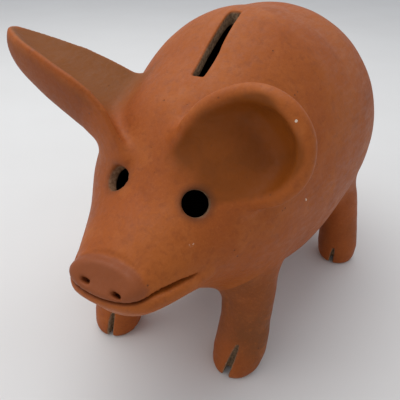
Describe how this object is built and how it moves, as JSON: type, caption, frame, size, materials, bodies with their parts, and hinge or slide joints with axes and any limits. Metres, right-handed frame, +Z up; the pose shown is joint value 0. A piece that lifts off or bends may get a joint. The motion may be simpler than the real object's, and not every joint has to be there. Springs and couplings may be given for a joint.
{
  "type": "clay pig coin bank",
  "caption": "Hand-built terracotta pig that stands on stubby legs and holds coins dropped through a slot in its back.",
  "frame": {"origin": "on the ground, at the middle of the footprint's bounding box", "axes": "+Z up, snout towards -Y, the pig's left side towards +X"},
  "size_m": [0.1343, 0.2054, 0.1356],
  "materials": {
    "body_clay": "burnished unglazed terracotta, soft sheen",
    "ear_clay": "burnished terracotta, darker in the hollow",
    "red_slip": "iron-red slip, satin",
    "leg_clay": "unglazed terracotta, satin, dirt in the hoof slits"
  },
  "bodies": {
    "root": {"rear_bowl": "body_clay", "front_bowl": "body_clay", "head_shell": "body_clay", "snout_disc": "red_slip", "lower_jaw": "body_clay", "left_ear": "ear_clay", "right_ear": "ear_clay", "front_left_leg": "leg_clay", "front_right_leg": "leg_clay", "rear_left_leg": "leg_clay", "rear_right_leg": "leg_clay", "tail": "body_clay"}
  },
  "joints": []
}
